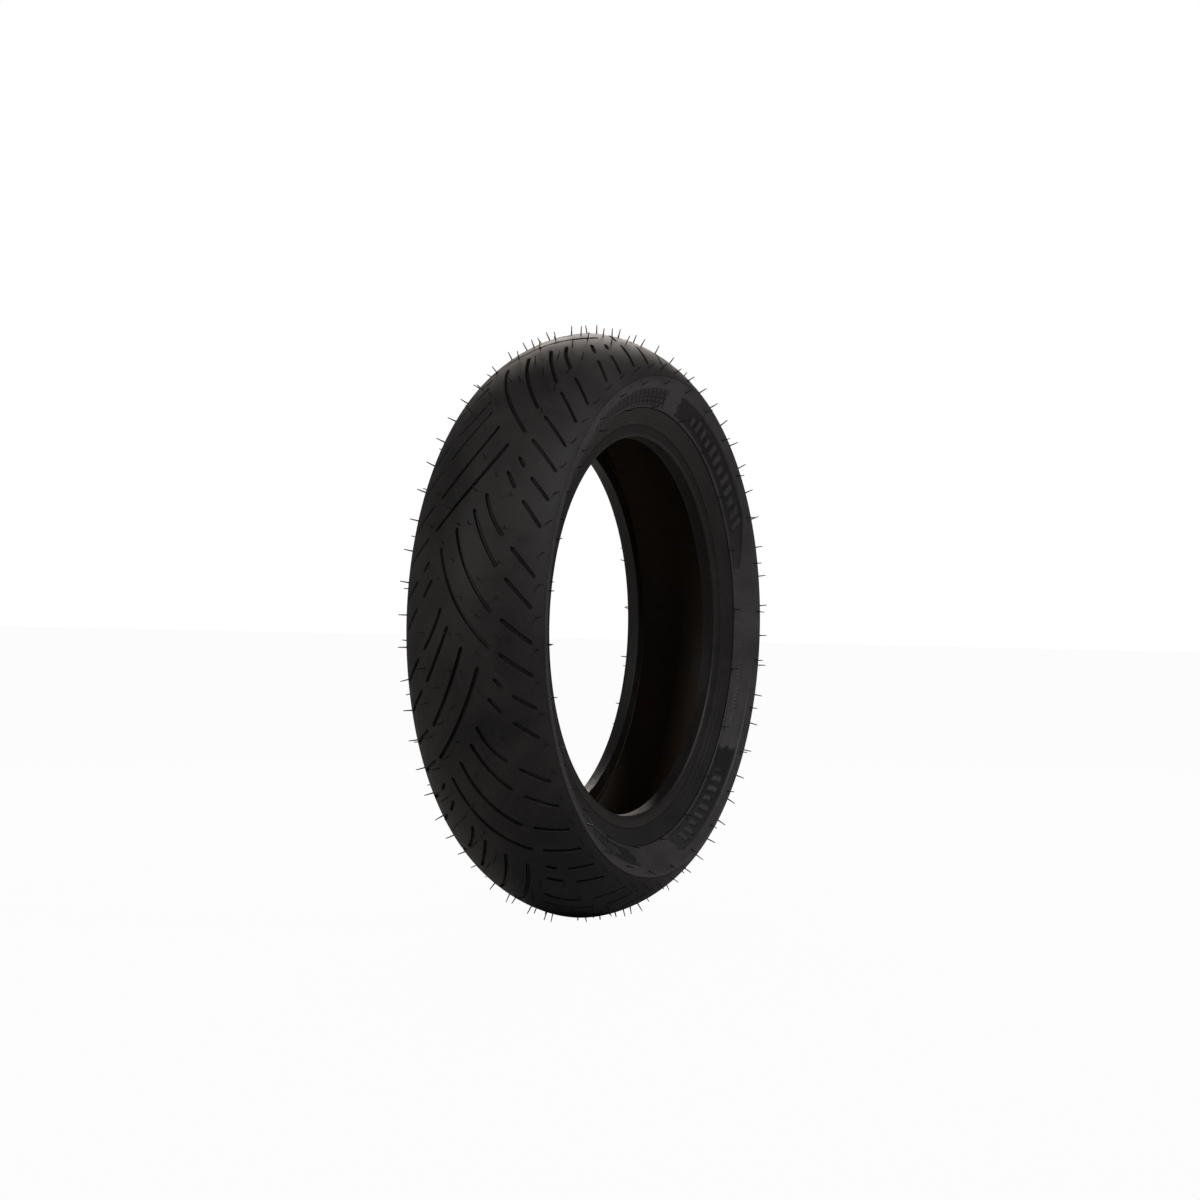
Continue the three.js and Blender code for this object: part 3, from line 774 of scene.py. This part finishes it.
def groove_cutters():
    """One repeat of the pattern as closed bars, for both sides of the tread."""
    points, faces = [], []
    for way, phase in ((-1, HALF_PITCH), (1, 0)):
        for groove in GROOVES:
            angle, across = groove_line(groove)
            lateral, radius, normal_lateral, normal_radius = on_crown(way * across)
            place = round_wheel(lateral, radius, angle + phase)
            normal = round_wheel(normal_lateral, normal_radius, angle + phase)
            travel = np.gradient(place, axis=0)
            sideways = np.cross(travel, normal)
            sideways = sideways / np.linalg.norm(sideways, axis=1)[:, None]
            passed = np.concatenate([[0], np.cumsum(np.linalg.norm(np.diff(place, axis=0), axis=1))])
            from_end = np.minimum(np.minimum(passed, passed[-1] - passed) / GROOVE_END, 1)
            taper = GROOVE_END_SHARE + (1 - GROOVE_END_SHARE) * np.sqrt(1 - (1 - from_end) ** 2)
            depths = [GROOVE_DEPTH, SHOULDER_GROOVE_DEPTH]
            depth = np.interp(np.abs(across), [0, crown_distance[-1]], depths)
            depth = depth * (GROOVE_FOOT_SHARE + (1 - GROOVE_FOOT_SHARE) * taper)
            half = GROOVE_WIDTH / 2 * taper
            # Half a groove's section, from its floor up past the crown, and then the other half.
            section = [
                (0.45 * half, -depth), (0.85 * half, -0.85 * depth), (half, -GROOVE_LIP),
                (half + 0.35 * GROOVE_LIP, -0.35 * GROOVE_LIP),
                (half + 1.6 * GROOVE_LIP, GROOVE_LIP), (half + 1.6 * GROOVE_LIP, 4 * GROOVE_LIP),
            ]
            section += [(-width, level) for width, level in reversed(section)]
            bar = np.stack([
                place + sideways * np.broadcast_to(width, half.shape)[:, None]
                + normal * np.broadcast_to(level, half.shape)[:, None]
                for width, level in section
            ], 1)
            first, corners = len(points), len(section)
            points.extend(bar.reshape(-1, 3).tolist())
            for i in range(len(place) - 1):
                here, there = first + i * corners, first + (i + 1) * corners
                for k in range(corners):
                    follow = (k + 1) % corners
                    faces.append((here + k, here + follow, there + follow, there + k))
            faces.append(tuple(range(first, first + corners))[::-1])
            faces.append(tuple(range(len(points) - corners, len(points))))
    mesh = bpy.data.meshes.new("groove_cutters")
    mesh.from_pydata(points, [], faces)
    solid = bmesh.new()
    solid.from_mesh(mesh)
    bmesh.ops.recalc_face_normals(solid, faces=solid.faces)
    solid.to_mesh(mesh)
    solid.free()
    return bpy.data.objects.new("groove_cutters", mesh)


def cut_pattern_tree():
    """Repeats the cutters round the wheel and takes them out of the tread."""
    tree, given, result = new_geometry_tree(
        "cut_pattern", cutters="Object", repeats="Int", rubber="Material",
    )
    pattern = add_node(tree, "GeometryNodeObjectInfo", {"Object": given["cutters"]})
    spots = add_node(tree, "GeometryNodePoints", {"Count": given["repeats"]})
    index = add_node(tree, "GeometryNodeInputIndex").outputs[0]
    turn = maths(tree, "MULTIPLY", maths(tree, "DIVIDE", index, given["repeats"]), 2 * math.pi)
    spin_by = add_node(tree, "ShaderNodeCombineXYZ", {"Y": turn})
    repeated = add_node(tree, "GeometryNodeInstanceOnPoints", {
        "Points": spots.outputs[0], "Instance": pattern.outputs["Geometry"], "Rotation": spin_by.outputs[0],
    })
    real = add_node(tree, "GeometryNodeRealizeInstances", {"Geometry": repeated.outputs["Instances"]})
    cut = add_node(tree, "GeometryNodeMeshBoolean", operation="DIFFERENCE", solver="MANIFOLD")
    tree.links.new(given["Geometry"], cut.inputs["Mesh 1"])
    tree.links.new(real.outputs["Geometry"], cut.inputs["Mesh 2"])
    finish = add_node(tree, "GeometryNodeSetMaterial", {
        "Geometry": cut.outputs["Mesh"], "Material": given["rubber"],
    })
    tree.links.new(finish.outputs["Geometry"], result.inputs["Geometry"])
    return tree


def tread_floor():
    """The corners of the tread's underside, which no groove reaches, from side to side."""
    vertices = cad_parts["tread_cap"].data.vertices
    spots = np.unique(np.round([vertex.co for vertex in vertices], 5), axis=0)
    section = np.round(np.stack([spots[:, 1], np.hypot(spots[:, 0], spots[:, 2])], -1), 4)
    corners, times = np.unique(section, axis=0, return_counts=True)
    corners = corners[times >= FRAME_FLATS]
    outer = np.interp(np.abs(corners[:, 0]), crown_curve[:, 0], crown_curve[:, 1])
    return corners[corners[:, 1] < outer - FLOOR_CLEAR]


TREAD_RUBBER = rubber("tread_rubber", {
    "Rubber": (0.0085, 0.0073, 0.007, 1), "Bloom": (0.054, 0.048, 0.046, 1), "Bloom Scale": 8.0,
    "Bloom Amount": 0.75, "Grain Scale": 700.0, "Grain Depth": 0.00022,
    "Smoothest": 0.5, "Roughest": 0.68,
}, specular=0.38)[0]
half_across = np.linspace(0, crown_distance[-1], CROWN_STEPS)
across = np.concatenate([-half_across[:0:-1], half_across])
crown_outline = np.stack(on_crown(across)[:2], -1)
ring_outline = np.concatenate([crown_outline, tread_floor()[::-1]])
plain_ring = spin("plain_tread_ring", ring_outline, TREAD_RUBBER, around=TREAD_STEPS)
cutters = groove_cutters()
scene.collection.objects.link(cutters)
tread = grown(
    "tread_cap_grooved", plain_ring.data, cut_pattern_tree(),
    cutters=cutters, repeats=PITCHES, rubber=TREAD_RUBBER,
)
for tool in (cutters, plain_ring):
    bpy.data.objects.remove(tool)


def true_crown_normals(mesh):
    """Smooth faces, with the crown's own normal wherever a face lies on the crown."""
    mesh.polygons.foreach_set("use_smooth", [True] * len(mesh.polygons))
    mesh.set_sharp_from_angle(angle=GROOVE_CREASE)
    spots = np.zeros(len(mesh.vertices) * 3)
    mesh.vertices.foreach_get("co", spots)
    spots = spots.reshape(-1, 3)
    radius = np.hypot(spots[:, 0], spots[:, 2])
    nearest = np.interp(np.abs(spots[:, 1]), crown_curve[:, 0], crown_distance)
    ways = np.where(spots[:, 1] < 0, -1, 1)
    lateral, crown_radius, normal_lateral, normal_radius = on_crown(ways * nearest)
    crown_normal = round_wheel(normal_lateral, normal_radius, np.arctan2(spots[:, 0], spots[:, 2]))
    normals = np.zeros(len(mesh.loops) * 3)
    mesh.corner_normals.foreach_get("vector", normals)
    normals = normals.reshape(-1, 3)
    corners = np.zeros(len(mesh.loops), int)
    mesh.loops.foreach_get("vertex_index", corners)
    wanted = crown_normal[corners]
    faces_out = np.einsum("ij,ij->i", normals, wanted) > CROWN_COSINE
    lies_on = faces_out & (radius > crown_radius - CROWN_REACH)[corners]
    normals[lies_on] = wanted[lies_on]
    mesh.normals_split_custom_set(normals.tolist())


true_crown_normals(tread.data)
stands_for(tread, "tread_rubber", "tread_cap")

# --- Vent hairs -----------------------------------------------------------------------------
# Rubber that ran into the mould's air vents and came away with the tyre: thin whiskers in
# rows over the tread, the shoulders and the sidewalls.

HAIR_LENGTH = 0.0085
HAIR_RADIUS = 0.00068
HAIR_STRAY = 0.16               # how far a hair leans at random
HAIR_SUNK = 0.0003              # how deep a hair's foot is in the rubber
HAIR_CLEAR = 0.0035             # from a hair to the middle of a groove
HAIR_ROWS = (0.005, 0.02, 0.0375, 0.0755)
HAIRS_ROUND = 52
WALL_HAIRS = (                  # lateral place, radius, outward share and count of each row
    (0.0688, 0.2285, 0.94, 30), (0.0545, 0.2065, 0.98, 22),
)
WALL_HAIR_SHIFT = 0.3           # share of a step after which each row starts


def clear_of_grooves(angle, across, way):
    """True if a hair's foot is on the tread's face and not in a groove."""
    phase = HALF_PITCH if way < 0 else 0
    for own, groove in ((own, groove) for own in (1, -1) for groove in GROOVES):
        line_angle, line_across = groove_line(groove)
        shift = phase if own > 0 else HALF_PITCH - phase
        gap = (angle - line_angle - shift + HALF_PITCH) % (2 * HALF_PITCH) - HALF_PITCH
        if np.min(np.hypot(gap * MEAN_RADIUS, across - own * line_across)) < HAIR_CLEAR:
            return False
    return True


def hair_feet():
    """Feet and outward directions of the hairs."""
    feet, directions = [], []
    for way in (-1, 1):
        for row, across in enumerate(HAIR_ROWS):
            for step in range(HAIRS_ROUND):
                angle = (step + 0.5 * (row % 2)) * 2 * math.pi / HAIRS_ROUND
                if clear_of_grooves(angle, across, way):
                    lateral, radius, normal_lateral, normal_radius = on_crown(way * across)
                    feet.append(round_wheel(lateral, radius - HAIR_SUNK, angle))
                    directions.append(round_wheel(normal_lateral, normal_radius, angle))
        for lateral, radius, outward_share, count in WALL_HAIRS:
            for step in range(count):
                angle = (step + WALL_HAIR_SHIFT) * 2 * math.pi / count
                feet.append(round_wheel(way * lateral, radius, angle))
                radial_share = math.sqrt(1 - outward_share ** 2)
                directions.append(round_wheel(way * outward_share, radial_share, angle))
    return feet, directions


def hair_tree():
    """A short tapering whisker at each foot, leaning a little at random."""
    tree, given, result = new_geometry_tree("vent_hairs", length="Float", radius="Float", rubber="Material")
    whisker = add_node(tree, "GeometryNodeMeshCone", {
        "Vertices": 6, "Side Segments": 3, "Radius Top": 0.0004,
        "Radius Bottom": given["radius"], "Depth": given["length"],
    })
    outward_way = add_node(tree, "GeometryNodeInputNamedAttribute", {
        "Name": "outward",
    }, data_type="FLOAT_VECTOR")
    stray = add_node(tree, "FunctionNodeRandomValue", {"Seed": 11}, data_type="FLOAT_VECTOR")
    stray.inputs[0].default_value = (-HAIR_STRAY,) * 3
    stray.inputs[1].default_value = (HAIR_STRAY,) * 3
    leaning = add_node(tree, "ShaderNodeVectorMath", {
        0: outward_way.outputs["Attribute"], 1: stray.outputs[0],
    }, operation="ADD")
    upright = add_node(tree, "FunctionNodeAlignEulerToVector", {"Vector": leaning.outputs[0]}, axis="Z")
    hairs = add_node(tree, "GeometryNodeInstanceOnPoints", {
        "Points": given["Geometry"], "Instance": whisker.outputs["Mesh"], "Rotation": upright.outputs[0],
    })
    real = add_node(tree, "GeometryNodeRealizeInstances", {"Geometry": hairs.outputs["Instances"]})
    finish = add_node(tree, "GeometryNodeSetMaterial", {
        "Geometry": real.outputs["Geometry"], "Material": given["rubber"],
    })
    tree.links.new(finish.outputs["Geometry"], result.inputs["Geometry"])
    return tree


feet, directions = hair_feet()
foot_mesh = bpy.data.meshes.new("hair_feet")
foot_mesh.from_pydata([tuple(foot) for foot in feet], [], [])
ways = foot_mesh.attributes.new("outward", "FLOAT_VECTOR", "POINT")
ways.data.foreach_set("vector", np.ravel(directions))
hairs = grown(
    "vent_hairs", foot_mesh, hair_tree(), length=HAIR_LENGTH, radius=HAIR_RADIUS, rubber=TREAD_RUBBER,
)
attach(hairs, "root")
